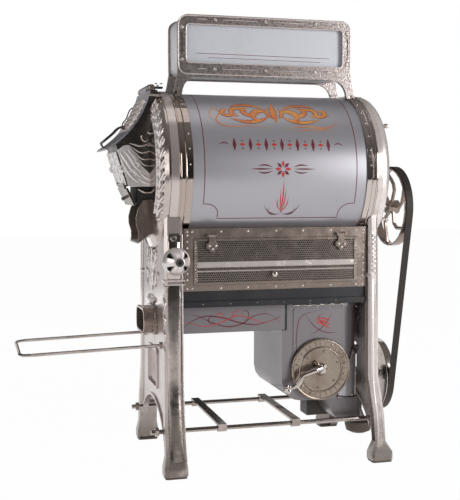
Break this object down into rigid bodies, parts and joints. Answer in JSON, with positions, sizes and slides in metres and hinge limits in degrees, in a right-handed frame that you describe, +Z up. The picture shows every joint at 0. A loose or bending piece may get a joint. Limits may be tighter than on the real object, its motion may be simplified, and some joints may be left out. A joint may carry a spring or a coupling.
{
  "type": "coffee roaster",
  "caption": "Antique belt-driven drum coffee roaster on cast legs, with hopper, gas burner, perforated fire door, suction fan and a sign frame on top.",
  "frame": {"origin": "on the floor, under the middle of the overall box", "axes": "+X along the drum towards the belt, +Y to the back, +Z up"},
  "size_m": [1.3914, 0.576, 1.52],
  "materials": {
    "nickel": "polished nickel plate, slightly warm and worn",
    "silver_paint": "silver-grey satin paint",
    "dark_sheet": "dark heat-stained sheet",
    "cast_iron": "oiled casting",
    "steel": "plain machined steel",
    "brassed_nickel": "nickel plate worn towards brass",
    "sign_panel": "pale enamel with plain lines",
    "belt": "dark flat belt",
    "rubber": "black sole"
  },
  "bodies": {
    "frame": {"leg_frame_left": "nickel", "leg_frame_right": "nickel", "foot_pad_front_left": "rubber", "foot_pad_front_right": "rubber", "foot_pad_back_left": "rubber", "foot_pad_back_right": "rubber", "tie_rod_front": "nickel", "tie_rod_back": "nickel", "cross_bar_left": "nickel", "cross_bar_right": "nickel", "drum_shell": "silver_paint", "shell_band_left": "nickel", "shell_band_right": "nickel", "end_bell_left": "nickel", "end_bell_right": "nickel", "head_plate_right": "cast_iron", "front_panel": "nickel", "back_panel": "dark_sheet", "ash_pan": "dark_sheet", "suction_duct": "silver_paint", "duct_gasket": "rubber", "duct_spout": "nickel", "fan_housing": "silver_paint", "damper_cover": "brassed_nickel", "bin_latch": "nickel", "shaft_pedestal": "nickel", "burner_pipe": "cast_iron", "pilot_elbow": "nickel", "cooling_pan_rail": "nickel", "sign_frame_front": "nickel", "sign_frame_back": "nickel", "sign_casing": "silver_paint", "sign_panel_front": "sign_panel", "sign_panel_back": "sign_panel", "hopper_body": "nickel", "discharge_spout": "nickel", "drive_belt": "belt"},
    "drum": {"roasting_cylinder": "steel", "drum_shaft": "steel", "drum_gear": "cast_iron"},
    "countershaft": {"counter_shaft": "steel", "drive_pinion": "cast_iron", "drive_pulley": "nickel"},
    "fan": {"fan_shaft": "steel", "fan_wheel": "cast_iron", "fan_pulley": "nickel"},
    "lid": {"hopper_lid": "silver_paint", "lid_plate": "nickel", "lid_handle": "nickel"},
    "door": {"fire_door": "nickel", "door_strap_left": "nickel", "door_strap_right": "nickel", "door_knob": "nickel"},
    "damper": {"damper_lever": "nickel", "damper_plate": "steel"},
    "shutter": {"air_shutter": "nickel"},
    "gate": {"discharge_gate": "nickel"},
    "bin": {"chaff_bin": "nickel"}
  },
  "joints": [
    {"name": "drum_spin", "type": "hinge", "parent": "frame", "child": "drum", "pos_m": [0.15375, 0.004, 0.996], "axis": [1, 0, 0], "continuous": true},
    {"name": "countershaft_spin", "type": "hinge", "parent": "frame", "child": "countershaft", "pos_m": [0.55375, 0.004, 0.868], "axis": [1, 0, 0], "continuous": true},
    {"name": "fan_spin", "type": "hinge", "parent": "frame", "child": "fan", "pos_m": [0.55375, 0.132, 0.226], "axis": [1, 0, 0], "continuous": true},
    {"name": "lid_hinge", "type": "hinge", "parent": "frame", "child": "lid", "pos_m": [-0.25025, 0.004, 1.273], "axis": [0, 1, 0], "range_deg": [0, 95]},
    {"name": "gate_hinge", "type": "hinge", "parent": "frame", "child": "gate", "pos_m": [-0.33425, 0.004, 0.95], "axis": [0, 1, 0], "range_deg": [0, 60]},
    {"name": "door_hinge", "type": "hinge", "parent": "frame", "child": "door", "pos_m": [0.15375, -0.2115, 0.784], "axis": [-1, 0, 0], "range_deg": [0, 120]},
    {"name": "damper_turn", "type": "hinge", "parent": "frame", "child": "damper", "pos_m": [0.32375, -0.186, 0.313], "axis": [0, 1, 0], "range_deg": [0, 90]},
    {"name": "shutter_turn", "type": "hinge", "parent": "frame", "child": "shutter", "pos_m": [-0.19725, -0.266, 0.702], "axis": [0, 1, 0], "range_deg": [-45, 45]},
    {"name": "bin_hinge", "type": "hinge", "parent": "frame", "child": "bin", "pos_m": [0.36775, -0.083, 0.2047], "axis": [0, 1, 0], "range_deg": [0, 60]}
  ],
  "couplings": [
    {"joint": "countershaft_spin", "follows": "drum_spin", "ratio": -3},
    {"joint": "fan_spin", "follows": "drum_spin", "ratio": -3.2614}
  ]
}
